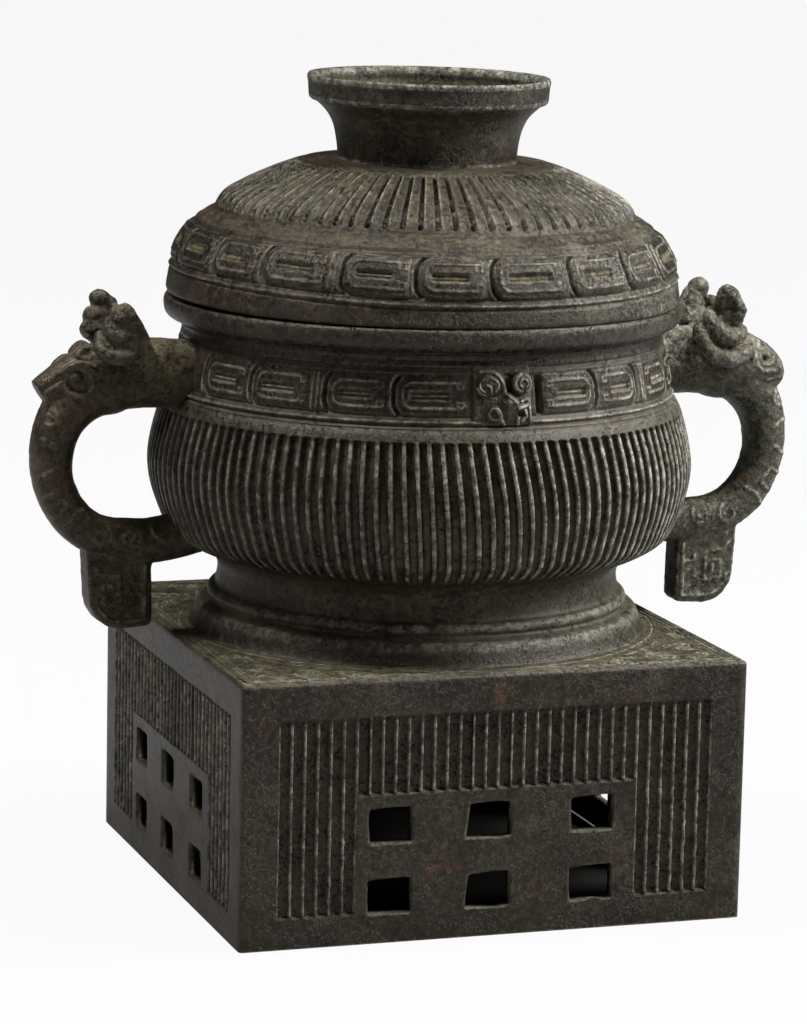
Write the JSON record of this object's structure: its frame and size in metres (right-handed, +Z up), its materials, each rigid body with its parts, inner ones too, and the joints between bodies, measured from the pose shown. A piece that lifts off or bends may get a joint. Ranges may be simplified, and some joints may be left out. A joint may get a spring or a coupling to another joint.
{
  "type": "lidded bronze food vessel on square base",
  "caption": "Ancient-style lidded bronze food vessel: ribbed round bowl with animal-head handles and pendants, ring-knobbed lid, on a square windowed base.",
  "frame": {"origin": "centre of the square base's underside", "axes": "+Z up along the bowl's axis, +X towards one handle, -Y towards the side whose mask has horn coils"},
  "size_m": [0.3544, 0.2434, 0.36],
  "materials": {
    "vessel_bronze": "aged dark bronze with grey-green and brown patina",
    "lid_bronze": "aged grey-green bronze with brown earth in the grooves"
  },
  "bodies": {
    "root": {"vessel": "vessel_bronze", "lid": "lid_bronze"}
  },
  "joints": []
}
